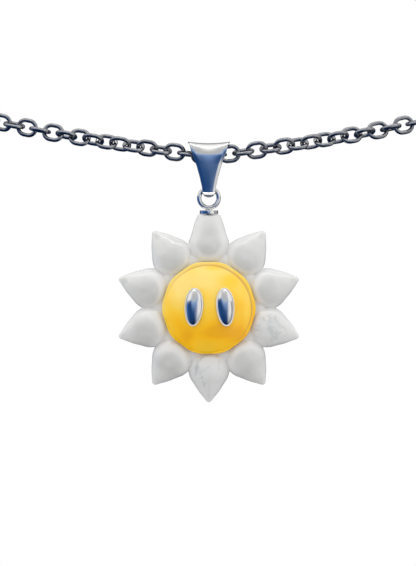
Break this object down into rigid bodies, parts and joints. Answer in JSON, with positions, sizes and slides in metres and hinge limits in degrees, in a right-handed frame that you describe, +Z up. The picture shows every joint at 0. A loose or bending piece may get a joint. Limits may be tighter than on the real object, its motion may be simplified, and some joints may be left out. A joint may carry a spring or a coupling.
{
  "type": "flower pendant necklace",
  "caption": "Chain necklace with a flower pendant: pointed stone petals round a domed yellow centre with two oval studs, hung from a tapered bail.",
  "frame": {"origin": "on the neck's axis, in the middle of the chain's loop seen from above, level with the chain at the nape", "axes": "+Z up along the neck, -Y is the front where the flower hangs, +X is the viewer's right"},
  "size_m": [0.1402, 0.1303, 0.107],
  "materials": {
    "chain_steel": "polished, slightly darkened steel",
    "polished_silver": "mirror polished silver",
    "milky_stone": "polished milky translucent quartz",
    "yellow_stone": "polished translucent yellow chalcedony"
  },
  "bodies": {
    "chain": {"chain": "chain_steel", "clasp": "chain_steel"},
    "bail": {"bail": "polished_silver"},
    "flower": {"cap_and_ring": "polished_silver", "petals": "milky_stone", "yellow_centre": "yellow_stone", "oval_stud_left": "polished_silver", "oval_stud_right": "polished_silver"}
  },
  "joints": [
    {"name": "bail_swing", "type": "hinge", "parent": "chain", "child": "bail", "pos_m": [0, -0.0615, -0.06098], "axis": [1, 0, 0], "range_deg": [-60, 60]},
    {"name": "flower_swing", "type": "hinge", "parent": "bail", "child": "flower", "pos_m": [0, -0.0615, -0.06692], "axis": [1, 0, 0], "range_deg": [-45, 45]}
  ]
}
